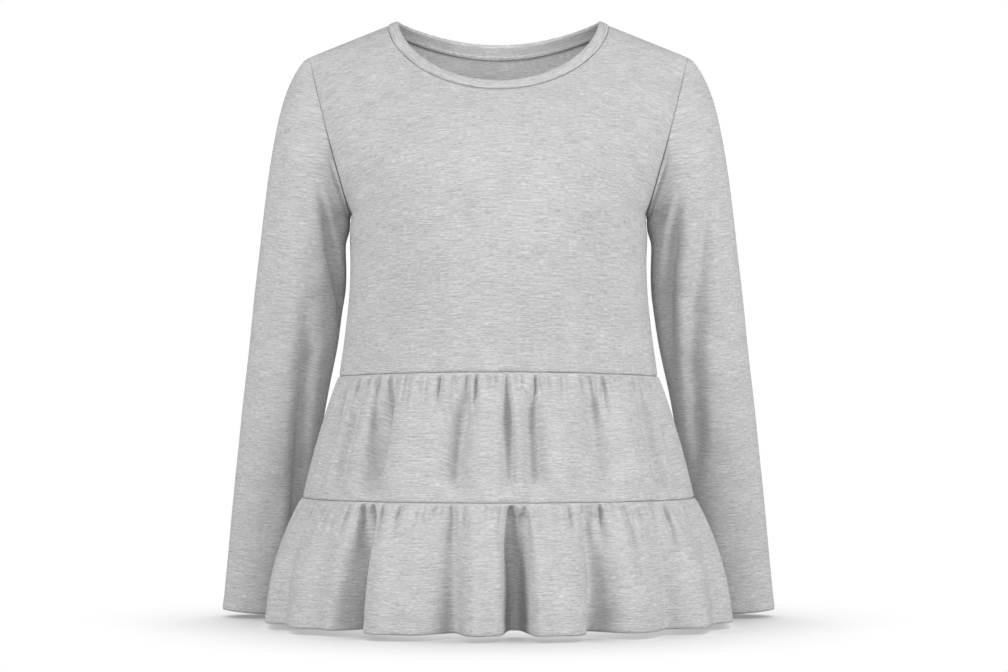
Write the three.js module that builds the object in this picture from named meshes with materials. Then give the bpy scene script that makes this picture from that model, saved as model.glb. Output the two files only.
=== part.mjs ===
// Long-sleeved tunic blouse in cotton jersey: a plain bodice, set-in sleeves, a round banded neck and two
// gathered tiers. Millimetres, +Z up. The front faces -Y and the wearer's left is +X. The origin is midway
// between the high shoulder points.
import * as THREE from "three";

// Cloth
const CLOTH = 2; // wall of the jersey
const BAND_CLOTH = 2.6; // folded neckband
const TAPE_CLOTH = 1;
const TAPE_GAP = 0.8; // between the band's inner side and the tape
const HEM_CLOTH = 3; // turned-up hems
const HEM_DEPTH = 14;
const SEAM_GAP = 0.3;
const GREY = "#b9babc";

// Neck and shoulders
const NECK_SEAM_HALF = 116; // centre to the band's seam, on the shoulder
const NECK_EDGE_HALF = 104.5; // centre to the band's top edge
const FRONT_NECK_DROP = 78;
const BACK_NECK_DROP = 20;
const EDGE_RISE_FRONT = 5.3; // how much less the band's top edge drops than its seam
const EDGE_RISE_BACK = 5.6;
const FRONT_NECK_POWER = 1.2;
const BACK_NECK_POWER = 2.3;
const TAPE_TOP = 0.92; // the tape's edges, in widths of the band up from the seam
const TAPE_BOTTOM = -0.4;
const HIGH_SHOULDER_HALF = 105; // centre to a high shoulder point, at the origin's height
const SHOULDER_ROUND = 170; // height over which a shoulder closes from full depth to its seam

// Armholes lie in a slanted plane through these two points and along Y.
const SHOULDER_POINT = { x: 199.5, z: -37.9 };
const ARMPIT = { x: 155, z: -205 };
const SHOULDER_SLOPE = -SHOULDER_POINT.z / (SHOULDER_POINT.x - HIGH_SHOULDER_HALF);

// Seams and hem
const WAIST_Z = -374;
const WAIST_LIFT = 3; // the waist seam rides up this much at the centre front
const TIER_SEAM_Z = -500;
const HEM_Z = -627;

const rows = (names, ...lists) =>
  lists.map((list) => Object.fromEntries(names.split(" ").map((name, i) => [name, list[i]])));

// Half width, front depth and back depth of the body at each height.
const BODY = rows(
  "z half front back",
  [20, 218, 50, 84],
  [-14, 217, 60, 97],
  [-60, 215, 78, 104],
  [-100, 210, 97, 109],
  [-125, 203, 109, 111],
  [-150, 190, 119, 112],
  [-175, 178, 126, 113],
  [-205, 167, 130, 112.8],
  [-230, 161, 130, 111],
  [-260, 157.5, 127.5, 108],
  [-294, 157.5, 123, 104],
  [-336, 161.7, 118, 100],
  [-374, 167, 115, 98],
);

// Near a panel's side edges the half width is another: above the armpit that of the oval that the armhole
// plane cuts, and below it that of the side seam.
const OVAL = rows(
  "z half",
  [20, 218],
  [-14, 217],
  [-60, 215],
  [-100, 210],
  [-125, 202],
  [-150, 185],
  [-175, 171],
  [-190, 163.5],
  [-205, 155],
);
const SIDE_SEAM = rows(
  "z half",
  [-205, 155],
  [-230, 156.5],
  [-260, 155.5],
  [-294, 157],
  [-336, 161.7],
  [-374, 167],
);
const CORNER_POWER = 8; // how soon that dies out towards the middle

// Sleeve rings from the armhole to the cuff: outer and inner points of the front outline, half depth, and how
// far back the middle hangs.
const SLEEVE = rows(
  "outX outZ inX inZ deep back",
  [199.5, -37.9, 155, -205, 44, 0],
  [206, -43, 156.8, -209, 45, 0],
  [213, -53, 158, -214, 46, 1],
  [221, -69, 159.5, -221, 47, 2],
  [228.5, -91, 160.6, -230, 48, 3],
  [235.5, -122, 161, -241, 48, 4],
  [242, -160, 160.8, -252, 48, 6],
  [247.5, -201, 160.6, -266, 48, 9],
  [253, -247, 161.3, -280, 47, 13],
  [258.8, -293, 163, -296, 46, 18],
  [264.9, -346, 170.5, -343, 43, 26],
  [272, -399, 183, -399, 40, 36],
  [278.8, -453, 192.7, -453, 36, 47],
  [285.5, -507, 202.8, -507, 32, 58],
  [291.5, -561, 212.8, -561, 29, 68],
  [296.8, -608, 222, -612, 27, 76],
  [298.6, -625, 225.2, -630.7, 26.5, 79],
);
const SLEEVE_RINGS = SLEEVE.map((row, ring) => ({ ...row, ring }));
const ELBOW_RING = 9;
const SLEEVE_BLEND_RINGS = 5; // rings over which the armhole's outline turns into an oval
const CUFF_RING = SLEEVE.length - 2; // the cuff's hem starts here
const FOLD_FADE_RINGS = 2; // rings over which a sleeve's fold starts and ends

// Soft folds of the sleeves: place round the ring from the top over the front, rings, depth and spread.
const SLEEVE_FOLDS = rows(
  "side turn first last deep spread",
  [-1, 124, 3, 11, 3.5, 14],
  [-1, 112, 9, 14, 3, 16],
  [1, 118, 4, 11, 4, 15],
  [1, 74, 7, 15, 3.2, 17],
  [-1, 232, 4, 11, 3.5, 18],
  [1, 238, 4, 12, 3.5, 18],
  [-1, 205, 9, 15, 2.5, 16],
  [1, 208, 8, 14, 2.5, 16],
);

const TIERS = {
  upper: {
    top: { z: WAIST_Z, half: 167, front: 115, back: 98 },
    bottom: { z: TIER_SEAM_Z, half: 204.5, front: 140, back: 122 },
    swell: 0.27, // how much of the flare comes early
    lift: WAIST_LIFT,
  },
  lower: {
    top: { z: TIER_SEAM_Z, half: 204.5, front: 140, back: 122 },
    bottom: { z: HEM_Z, half: 242.5, front: 170, back: 150 },
    swell: 0.92,
    lift: 0,
  },
};

const GATHER_START = 0.05; // share of a tier over which its gathers open below the seam
const GATHER_HOLD = 0.35; // share of a gather's reach that keeps its full depth

// Gathers: place in degrees round from the centre front, drift by the tier's end, depth at its deepest,
// spread in degrees and the share of the tier that it reaches down.
const GATHER = "at drift deep wide reach";
const UPPER_GATHERS = rows(
  GATHER,
  [-80, 0, 1.4, 1.5, 0.35],
  [-71.3, 1, 1.8, 1.5, 0.4],
  [-65.9, 2, 2.2, 1.5, 0.5],
  [-61.4, 1, 2, 1.5, 0.4],
  [-56.9, 1, 1.8, 1.5, 0.35],
  [-50.5, 0, 1.2, 1.3, 0.25],
  [-46, 5, 4.6, 1.8, 0.95],
  [-40.5, 4, 4, 1.6, 0.8],
  [-36.2, 0, 1.8, 1.3, 0.25],
  [-33, 0, 1.8, 1.3, 0.3],
  [-27.3, 0, 1.3, 1.3, 0.2],
  [-20.3, 0, 3, 1.4, 0.35],
  [-15, 0, 1.4, 1.3, 0.25],
  [-10.6, -1.7, 3.2, 1.7, 0.65],
  [-7.2, -2, 3, 1.3, 0.4],
  [-3.6, 0, 1.7, 1.3, 0.25],
  [-0.6, 0, 1.4, 1.2, 0.2],
  [2.5, -1, 6.2, 1.7, 0.97],
  [6.8, 0, 1.5, 1.3, 0.25],
  [12.3, -4, 3.8, 1.7, 0.75],
  [16.4, 0, 1.5, 1.3, 0.25],
  [21.1, 0, 1.5, 1.3, 0.3],
  [25.3, 0, 1.2, 1.3, 0.2],
  [29.2, 0, 2, 1.4, 0.3],
  [33, 0, 2.8, 2, 0.6],
  [38.7, -4, 3, 1.8, 0.55],
  [46.1, 0, 1.3, 1.4, 0.25],
  [53.5, 0, 1.3, 1.4, 0.25],
  [61, 0, 1.5, 1.4, 0.3],
  [67.3, -10, 3.2, 1.8, 0.7],
  [77, 0, 1.5, 1.5, 0.35],
  [97, 1, 1.8, 1.5, 0.4],
  [104.5, 0, 2.4, 1.6, 0.45],
  [111.5, 2, 1.6, 1.5, 0.3],
  [118, 0, 3.4, 1.8, 0.7],
  [124.5, 0, 1.5, 1.4, 0.3],
  [130, -2, 2.2, 1.5, 0.45],
  [136.5, 0, 4.4, 1.8, 0.9],
  [142.5, 0, 1.6, 1.4, 0.3],
  [149, 1, 2.6, 1.6, 0.5],
  [155, 0, 1.4, 1.4, 0.25],
  [161.5, 2, 3.8, 1.8, 0.75],
  [168, 0, 1.6, 1.4, 0.3],
  [174.5, 0, 2.4, 1.5, 0.4],
  [-178.5, 1, 5, 1.8, 0.92],
  [-172, 0, 1.6, 1.4, 0.3],
  [-166, -1, 2.8, 1.6, 0.55],
  [-159, 0, 1.5, 1.4, 0.3],
  [-152.5, -2, 3.6, 1.8, 0.8],
  [-146, 0, 1.6, 1.4, 0.25],
  [-139.5, 0, 2.6, 1.6, 0.5],
  [-133, 1, 1.5, 1.4, 0.3],
  [-126.5, 0, 4, 1.8, 0.85],
  [-119.5, 0, 1.6, 1.4, 0.3],
  [-112.5, -1, 2.4, 1.6, 0.5],
  [-105, 0, 1.6, 1.5, 0.35],
  [-97.5, 0, 1.8, 1.5, 0.4],
);
const LOWER_GATHERS = rows(
  GATHER,
  [-81, 0, 1.4, 1.4, 0.3],
  [-75, 0, 1.6, 1.4, 0.35],
  [-69.5, 1, 1.8, 1.3, 0.4],
  [-65.2, 1, 1.8, 1.2, 0.4],
  [-61.5, 1, 2, 1.2, 0.45],
  [-57.8, 0, 1.8, 1.2, 0.35],
  [-54.2, 0, 1.8, 1.2, 0.35],
  [-50.6, 0, 1.6, 1.2, 0.3],
  [-45.5, 0, 2.4, 1.3, 0.4],
  [-41.2, 5, 3.2, 1.4, 0.6],
  [-37.4, 2, 2.6, 1.3, 0.5],
  [-33.6, 1, 2.2, 1.3, 0.4],
  [-28, 0, 2.2, 1.3, 0.35],
  [-22.6, 0, 1.4, 1.3, 0.25],
  [-17.6, 0, 1.4, 1.3, 0.25],
  [-13, -1, 3, 1.5, 0.6],
  [-9.2, 0, 2, 1.3, 0.3],
  [-3.8, 0, 2, 1.3, 0.3],
  [0.4, 0, 2.4, 1.3, 0.45],
  [3.6, 0, 4.2, 1.5, 0.7],
  [7.2, 0, 2.8, 1.3, 0.45],
  [11.4, 0, 1.8, 1.3, 0.3],
  [15.8, 0, 1.5, 1.3, 0.25],
  [19.6, 0, 2.4, 1.3, 0.3],
  [25.2, 0, 2, 1.5, 0.5],
  [29.3, -1, 2.8, 1.4, 0.45],
  [33.3, 0, 1.4, 1.2, 0.25],
  [37, 0, 2.8, 1.5, 0.7],
  [41.5, 0, 1.4, 1.3, 0.25],
  [47.1, 0, 1.5, 1.3, 0.3],
  [54.1, -6, 3, 1.5, 0.65],
  [58.5, 0, 1.8, 1.3, 0.35],
  [65, 0, 2.2, 1.4, 0.4],
  [70.5, 0, 1.5, 1.3, 0.3],
  [76.1, 0, 1.6, 1.4, 0.35],
  [82, 0, 1.4, 1.4, 0.3],
  [98, 0, 1.8, 1.4, 0.4],
  [104, 0, 1.5, 1.4, 0.3],
  [110, 2, 2.8, 1.5, 0.55],
  [116, 0, 1.6, 1.4, 0.3],
  [122, 0, 2.2, 1.4, 0.4],
  [128, 0, 3.4, 1.5, 0.7],
  [134, 0, 1.6, 1.3, 0.3],
  [139.5, 0, 2.4, 1.4, 0.45],
  [145.5, -2, 1.6, 1.3, 0.3],
  [151, 0, 3.2, 1.5, 0.65],
  [157, 0, 1.6, 1.3, 0.3],
  [162.5, 0, 2.4, 1.4, 0.4],
  [168, 1, 1.6, 1.3, 0.3],
  [173.5, 0, 3.6, 1.5, 0.75],
  [179.5, 0, 1.8, 1.3, 0.35],
  [-175, 0, 2.2, 1.4, 0.4],
  [-169, 0, 1.5, 1.3, 0.3],
  [-163.5, 0, 3, 1.5, 0.6],
  [-157.5, 0, 1.6, 1.3, 0.3],
  [-151.5, 1, 2.6, 1.4, 0.5],
  [-146, 0, 1.6, 1.3, 0.3],
  [-140, 0, 3.6, 1.5, 0.7],
  [-134, 0, 1.6, 1.3, 0.3],
  [-128.5, 0, 2.2, 1.4, 0.4],
  [-122, 0, 1.6, 1.3, 0.3],
  [-116, -2, 3, 1.5, 0.6],
  [-110, 0, 1.6, 1.4, 0.3],
  [-104, 0, 2.2, 1.4, 0.45],
  [-98, 0, 1.6, 1.4, 0.35],
);

// Waves of the hem, which fade out up the lower tier: place, swing out or in at the hem, and spread.
const HEM_WAVES = rows(
  "at out wide",
  [-74, 4, 4],
  [-66, -4, 3.5],
  [-56, 5, 4],
  [-47, -5, 3.5],
  [-36.4, -15, 2.6],
  [-30, 13, 4],
  [-21.5, 5, 4],
  [-13, -6, 3],
  [-6, 12, 3.6],
  [3.1, -18, 3],
  [9.6, 12, 3.4],
  [16, 7, 3.4],
  [25, -9, 3.6],
  [36, 3, 4],
  [47, -6, 4],
  [57, 5, 4],
  [68, -4, 4],
  [77, 4, 4],
  [100, 3, 4],
  [112, -12, 6.5],
  [124, 8, 4],
  [132, -11, 3.6],
  [142, 9, 4],
  [152, -9, 3.6],
  [161, 8, 4],
  [172, -13, 3.6],
  [-178, 9, 4],
  [-168, -7, 3.6],
  [-158, 9, 4],
  [-148, -8, 3.6],
  [-139, 7, 4],
  [-128, -12, 3.6],
  [-120, 6, 3.4],
  [-110, -12, 6],
  [-99, 3, 4],
);
const HEM_WAVE_POWER = 1.25; // how late the waves grow
const HEM_FOLD = 1 - HEM_DEPTH / (TIER_SEAM_Z - HEM_Z);

// How finely each piece is divided
const NECK_COLUMNS = 16;
const TAPE_COLUMNS = NECK_COLUMNS - 4; // the tape stops this short of the shoulders
const SHOULDER_COLUMNS = 6;
const ARMHOLE_LINES = 9;
const SIDE_LINES = 4;
const SLEEVE_COLUMNS = 2 * ARMHOLE_LINES;
const BAND_COLUMNS = 2 * NECK_COLUMNS;
const TIER_STEP = 3.1; // widest and least steps round a tier, in degrees
const TIER_LEAST_STEP = 0.9;
const UPPER_ROWS = [0, GATHER_START, 0.25, 0.6, 1];
const LOWER_ROWS = [0, GATHER_START, 0.22, 0.5, HEM_FOLD, 1];

const { sin, cos, abs, sqrt, min, max, asin, exp, sign, PI } = Math;
const degrees = (turn) => (turn * PI) / 180;
const mix = THREE.MathUtils.lerp;
const smooth = THREE.MathUtils.smoothstep;

// The value in one column of a table, at a place between its rows, on a smooth curve through them.
function along(table, key, column, at) {
  const last = table.length - 1;
  const falling = table[last][key] < table[0][key];
  let i = 0;
  while (i < last - 1 && (falling ? at < table[i + 1][key] : at > table[i + 1][key])) i += 1;
  const slope = (k) => {
    const before = table[max(k - 1, 0)];
    const after = table[min(k + 1, last)];
    return (after[column] - before[column]) / (after[key] - before[key]);
  };
  const low = table[i];
  const high = table[i + 1];
  const span = high[key] - low[key];
  const t = THREE.MathUtils.clamp((at - low[key]) / span, 0, 1);
  const swing = t * (1 - t) * span;
  const straight = mix(low[column], high[column], smooth(t, 0, 1));
  return straight + swing * ((1 - t) * slope(i) - t * slope(i + 1));
}

// Body

const edgeHalf = (z) => along(z > ARMPIT.z ? OVAL : SIDE_SEAM, "z", "half", z);

function shoulderZ(x) {
  const past = abs(x) - HIGH_SHOULDER_HALF;
  if (past > 0) return -SHOULDER_SLOPE * past;
  return -SHOULDER_SLOPE * past - (SHOULDER_SLOPE / (2 * HIGH_SHOULDER_HALF)) * past * past;
}

// How far a body panel reaches from the middle at each height: to its armhole, and below it to its side seam.
const ARMHOLE_LEAN = (SHOULDER_POINT.x - ARMPIT.x) / (SHOULDER_POINT.z - ARMPIT.z);
function reach(z) {
  if (z > ARMPIT.z) return ARMPIT.x + ARMHOLE_LEAN * (z - ARMPIT.z);
  return edgeHalf(z);
}

// A point of the body's surface, from its place in the front view; side is -1 in front and +1 behind.
function onBody(x, z, side) {
  const corner = min(abs(x) / reach(z), 1) ** CORNER_POWER;
  const half = mix(along(BODY, "z", "half", z), edgeHalf(z), corner);
  const depth = along(BODY, "z", side < 0 ? "front" : "back", z);
  const across = sqrt(max(0, 1 - (x / half) ** 2));
  const below = min(max(shoulderZ(x) - z, 0) / SHOULDER_ROUND, 1);
  const round = sqrt(1 - (1 - below) ** 2);
  return new THREE.Vector3(x, side * (depth * across * round + SEAM_GAP / 2), z);
}

// A point of the neckline: turn goes from one shoulder over the middle to the other; share is 0 at the
// band's seam and 1 at its top edge.
function neckPoint(turn, share, side) {
  const half = mix(NECK_SEAM_HALF, NECK_EDGE_HALF, share);
  const drop =
    side < 0 ? FRONT_NECK_DROP - share * EDGE_RISE_FRONT : BACK_NECK_DROP - share * EDGE_RISE_BACK;
  const power = side < 0 ? FRONT_NECK_POWER : BACK_NECK_POWER;
  return { x: half * sin(turn), z: shoulderZ(half) - drop * max(cos(turn), 0) ** power };
}

// The top edge of a body panel, from -1 to 1: shoulder, neck, shoulder. share is the part of the reach.
const NECK_END = NECK_COLUMNS / (NECK_COLUMNS + 2 * SHOULDER_COLUMNS);
const NECK_TURN = asin(NECK_SEAM_HALF / reach(shoulderZ(NECK_SEAM_HALF)));
function topEdge(u, side) {
  const out = abs(u);
  if (out <= NECK_END) {
    const { x, z } = neckPoint((u * PI) / 2 / NECK_END, 0, side);
    return { share: x / reach(z), z };
  }
  const share = sin(mix(NECK_TURN, PI / 2, (out - NECK_END) / (1 - NECK_END)));
  const level = ARMPIT.x - ARMHOLE_LEAN * (ARMPIT.z - SHOULDER_SLOPE * HIGH_SHOULDER_HALF);
  const x = (share * level) / (1 + share * ARMHOLE_LEAN * SHOULDER_SLOPE);
  return { share: share * sign(u), z: shoulderZ(x) };
}

function seamLift(turn, lift) {
  return lift * max(cos(turn), 0) ** 2;
}

// A point of a body panel: v is 0 at the top edge, PIT_LINE at the armpit and 1 at the waist seam.
const PIT_LINE = ARMHOLE_LINES / (ARMHOLE_LINES + SIDE_LINES);
const PIT_SHARE = (SHOULDER_POINT.z - ARMPIT.z) / (SHOULDER_POINT.z - WAIST_Z);
function bodicePoint(u, v, side) {
  const top = topEdge(u, side);
  const lift = side < 0 ? seamLift(asin(top.share), WAIST_LIFT) : 0;
  const bottom = WAIST_Z + lift + SEAM_GAP / 2;
  const down =
    v < PIT_LINE
      ? (PIT_SHARE * (1 - cos((PI * v) / PIT_LINE))) / 2
      : mix(PIT_SHARE, 1, (v - PIT_LINE) / (1 - PIT_LINE));
  const z = mix(top.z, bottom, down);
  return onBody(top.share * reach(z), z, side);
}

// Sleeves

function sleevePoint(turn, ring, hand) {
  const at = (column) => along(SLEEVE_RINGS, "ring", column, ring);
  const cosTurn = cos(turn);
  const x = (at("outX") + at("inX")) / 2 + ((at("outX") - at("inX")) / 2) * cosTurn;
  const z = (at("outZ") + at("inZ")) / 2 + ((at("outZ") - at("inZ")) / 2) * cosTurn;
  const side = sin(turn) < 0 ? 1 : -1;
  const down = (1 - cosTurn) / 2;
  const seam = onBody(
    mix(SHOULDER_POINT.x, ARMPIT.x, down),
    mix(SHOULDER_POINT.z, ARMPIT.z, down),
    side,
  );
  const blend = smooth(ring, 0, SLEEVE_BLEND_RINGS);
  const y = mix(seam.y - side * (SEAM_GAP / 2), at("back") - at("deep") * sin(turn), blend);
  const fold = SLEEVE_FOLDS.filter((f) => f.side === hand).reduce((sum, f) => {
    const starts = smooth(ring, f.first, f.first + FOLD_FADE_RINGS);
    const ends = smooth(ring, f.last - FOLD_FADE_RINGS, f.last);
    const span = starts * (1 - ends);
    const away = (((turn * 180) / PI - f.turn + 540) % 360) - 180;
    return sum + f.deep * span * exp(-((away / f.spread) ** 2));
  }, 0);
  const out = new THREE.Vector2(cosTurn, -sin(turn)).multiplyScalar(fold);
  const gap = SEAM_GAP * (1 - smooth(ring, 0, 1));
  return new THREE.Vector3(hand * (x - out.x + gap), y - out.y, z);
}

// Tiers

function angleBetween(a, b) {
  return ((((a - b + 540) % 360) + 360) % 360) - 180;
}

// How far the cloth stands out from the tier's plain form, in and out with its gathers and waves.
function swing(tier, at, down) {
  const start = smooth(down, 0, GATHER_START);
  let out = 0;
  for (const g of tier.gathers) {
    const away = angleBetween(at, g.at + g.drift * down) / (g.wide * (1 + down));
    const fade = 1 - smooth(down, g.reach * GATHER_HOLD, g.reach);
    out -= g.deep * start * fade * exp(-away * away);
  }
  for (const w of tier.waves) {
    const away = angleBetween(at, w.at) / w.wide;
    out += w.out * down ** HEM_WAVE_POWER * exp(-away * away);
  }
  return out;
}

function tierPoint(tier, at, down) {
  const { top, bottom, swell, lift } = tier;
  const flare = down * (1 + swell * (1 - down));
  const turn = degrees(at);
  const behind = cos(turn) < 0;
  const half = mix(top.half, bottom.half, flare);
  const depth = behind ? mix(top.back, bottom.back, flare) : mix(top.front, bottom.front, flare);
  const z = mix(top.z + seamLift(turn, lift) - SEAM_GAP / 2, bottom.z + tier.gapBelow, down);
  const outward = new THREE.Vector2(depth * sin(turn), -half * cos(turn)).normalize();
  const out = swing(tier, at, down);
  return new THREE.Vector3(half * sin(turn) + outward.x * out, -depth * cos(turn) + outward.y * out, z);
}

// Places round a tier for its columns: three for each gather, then more where they are far apart.
function tierColumns(tier, from, to) {
  const marks = tier.gathers.flatMap((g) => [g.at - g.wide, g.at, g.at + g.wide]);
  const wanted = marks
    .map((mark) => (mark < from - TIER_LEAST_STEP && to > 180 ? mark + 360 : mark))
    .filter((mark) => mark > from + TIER_LEAST_STEP && mark < to - TIER_LEAST_STEP)
    .sort((a, b) => a - b);
  const places = [from];
  for (const mark of [...wanted, to]) {
    const before = places[places.length - 1];
    if (mark !== to && mark - before < TIER_LEAST_STEP) continue;
    const steps = Math.ceil((mark - before) / TIER_STEP);
    for (let i = 1; i <= steps; i += 1) places.push(mix(before, mark, i / steps));
  }
  return places;
}

// Walls: a grid of outer points, the same points moved in by the cloth's thickness, and the rims between.

const STEP = 1e-3;

// The outward normal of a surface at a place on it; the limits hold the steps inside the piece.
function normalAt(place, facing, u, v, uLimits, vLimits) {
  const { clamp } = THREE.MathUtils;
  const spread = STEP * (uLimits[1] - uLimits[0]);
  const [left, right] = [u - spread, u + spread].map((at) => clamp(at, ...uLimits));
  const [low, high] = [v - STEP, v + STEP].map((at) => clamp(at, ...vLimits));
  const overU = place(right, v).sub(place(left, v));
  const overV = place(u, high).sub(place(u, low));
  return overU.cross(overV).normalize().multiplyScalar(facing);
}

function wall({ name, columns, lines, closed = false, place, facing, thickness, inward }) {
  const wide = columns.length;
  const tall = lines.length;
  const uLimits = closed ? [-2 * PI, 4 * PI] : [columns[0], columns[wide - 1]];
  const vLimits = [lines[0], lines[tall - 1]];
  const outer = [];
  const inner = [];
  for (const v of lines) {
    for (const u of columns) {
      const point = place(u, v);
      const straight = normalAt(place, facing, u, v, uLimits, vLimits).negate();
      const way = inward ? inward(v, straight) : straight;
      outer.push(point);
      inner.push(point.clone().addScaledVector(way, thickness(u, v)));
    }
  }
  const half = outer.length;
  const faces = [];
  const quad = (a, b, c, d) => faces.push(...(facing > 0 ? [a, b, c, a, c, d] : [a, c, b, a, d, c]));
  const spans = closed ? wide : wide - 1;
  for (let j = 0; j < tall - 1; j += 1) {
    for (let i = 0; i < spans; i += 1) {
      const a = j * wide + i;
      const b = j * wide + ((i + 1) % wide);
      quad(a, b, b + wide, a + wide);
      quad(half + a, half + a + wide, half + b + wide, half + b);
    }
  }
  for (let i = 0; i < spans; i += 1) {
    const low = [i, (i + 1) % wide];
    const high = low.map((k) => k + (tall - 1) * wide);
    quad(low[0], half + low[0], half + low[1], low[1]);
    quad(high[0], high[1], half + high[1], half + high[0]);
  }
  if (!closed) {
    for (let j = 0; j < tall - 1; j += 1) {
      const left = [j * wide, (j + 1) * wide];
      const right = left.map((k) => k + wide - 1);
      quad(left[0], left[1], half + left[1], half + left[0]);
      quad(right[0], half + right[0], half + right[1], right[1]);
    }
  }
  const geometry = new THREE.BufferGeometry();
  geometry.setAttribute(
    "position",
    new THREE.Float32BufferAttribute([...outer, ...inner].flatMap((p) => p.toArray()), 3),
  );
  geometry.setIndex(faces);
  geometry.computeVertexNormals();
  const jersey = new THREE.MeshStandardMaterial({ color: GREY, roughness: 0.95, metalness: 0 });
  jersey.name = name + "_jersey";
  const mesh = new THREE.Mesh(geometry, jersey);
  mesh.name = name;
  return mesh;
}

function evenly(from, to, steps) {
  return Array.from({ length: steps + 1 }, (_, i) => mix(from, to, i / steps));
}

const tunic = new THREE.Group();
tunic.name = "tunic_blouse";

// Bodice panels

for (const [name, side] of [
  ["bodice_front", -1],
  ["bodice_back", 1],
]) {
  tunic.add(
    wall({
      name,
      columns: evenly(-1, 1, NECK_COLUMNS + 2 * SHOULDER_COLUMNS),
      lines: evenly(0, 1, ARMHOLE_LINES + SIDE_LINES),
      place: (u, v) => bodicePoint(u, v, side),
      facing: side,
      thickness: () => CLOTH,
    }),
  );
}

// Set-in sleeves. Each is one tube of cloth, made as an upper and a lower solid that meet at the elbow, so
// that both keep close collision walls. At the armhole the cloth is turned in along its plane, clear of
// the body panels.

const armholeRun = new THREE.Vector3(ARMHOLE_LEAN, 0, 1).normalize();
const elbowTurn = (SEAM_GAP / 2) / (SLEEVE[ELBOW_RING].outZ - SLEEVE[ELBOW_RING + 1].outZ);
const SLEEVE_PARTS = [
  ["upper_sleeve", [...evenly(0, ELBOW_RING - 1, ELBOW_RING - 1), ELBOW_RING - elbowTurn]],
  [
    "lower_sleeve",
    [
      ELBOW_RING + elbowTurn,
      ...evenly(ELBOW_RING + 1, SLEEVE.length - 1, SLEEVE.length - 2 - ELBOW_RING),
    ],
  ],
];
for (const [side, hand] of [
  ["right", -1],
  ["left", 1],
]) {
  const outOfBody = new THREE.Vector3(hand * armholeRun.z, 0, -armholeRun.x);
  for (const [part, lines] of SLEEVE_PARTS) {
    tunic.add(
      wall({
        name: side + "_" + part,
        columns: evenly(0, 2 * PI, SLEEVE_COLUMNS).slice(0, -1),
        lines,
        closed: true,
        place: (turn, ring) => sleevePoint(turn, ring, hand),
        facing: hand,
        thickness: (turn, ring) => (ring >= CUFF_RING ? HEM_CLOTH : CLOTH),
        inward: (ring, way) => {
          const into = way.dot(outOfBody);
          if (ring === 0 && into < 0) way.addScaledVector(outOfBody, -into).normalize();
          return way;
        },
      }),
    );
  }
}

// Neckband, one ring, and the tape inside the back neck

const bandPoint = (turn, share) => {
  const side = cos(turn) < 0 ? 1 : -1;
  const middle = turn > PI / 2 && turn < 1.5 * PI ? PI - turn : turn;
  const held = share + (SEAM_GAP / (NECK_SEAM_HALF - NECK_EDGE_HALF)) * (1 - share);
  const { x, z } = neckPoint(middle, held, side);
  const point = onBody(x, z, side);
  point.y -= side * (SEAM_GAP / 2);
  return point;
};
tunic.add(
  wall({
    name: "neckband",
    columns: evenly(0, 2 * PI, BAND_COLUMNS).slice(0, -1),
    lines: [0, 0.5, 1],
    closed: true,
    place: bandPoint,
    facing: 1,
    thickness: () => BAND_CLOTH,
  }),
);

const tapeTurn = (PI / NECK_COLUMNS) * (TAPE_COLUMNS / 2);
const onBackNeck = (turn, share) => {
  const { x, z } = neckPoint(turn, share, 1);
  return onBody(x, z, 1);
};
tunic.add(
  wall({
    name: "back_neck_tape",
    columns: evenly(-tapeTurn, tapeTurn, TAPE_COLUMNS),
    lines: evenly(TAPE_BOTTOM, TAPE_TOP, 2),
    place: (turn, share) => {
      const limits = [
        [-tapeTurn, tapeTurn],
        [TAPE_BOTTOM, TAPE_TOP],
      ];
      const inside = normalAt(onBackNeck, -1, turn, share, ...limits);
      return onBackNeck(turn, share).addScaledVector(inside, -BAND_CLOTH - TAPE_GAP);
    },
    facing: -1,
    thickness: () => TAPE_CLOTH,
  }),
);

// Gathered tiers, each a front and a back

const TIER_PIECES = [
  {
    name: "upper_tier",
    tier: { ...TIERS.upper, gathers: UPPER_GATHERS, waves: [], gapBelow: SEAM_GAP / 2 },
    lines: UPPER_ROWS,
    thickness: () => CLOTH,
  },
  {
    name: "lower_tier",
    tier: { ...TIERS.lower, gathers: LOWER_GATHERS, waves: HEM_WAVES, gapBelow: 0 },
    lines: LOWER_ROWS,
    thickness: (at, down) => (down >= HEM_FOLD ? HEM_CLOTH : CLOTH),
  },
];
for (const { name, tier, lines, thickness } of TIER_PIECES) {
  const sideGap = ((SEAM_GAP / 2 / tier.top.back) * 180) / PI;
  for (const [half, from] of [
    ["_front", -90],
    ["_back", 90],
  ]) {
    tunic.add(
      wall({
        name: name + half,
        columns: tierColumns(tier, from + sideGap, from + 180 - sideGap),
        lines,
        place: (at, down) => tierPoint(tier, at, down),
        facing: -1,
        thickness,
      }),
    );
  }
}

export default tunic;
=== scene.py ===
import random
from bisect import bisect_right
from functools import lru_cache
from math import asin, cos, degrees, exp, pi, radians, sin, sqrt

import bmesh
import bpy
from mathutils import Matrix, Vector


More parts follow.
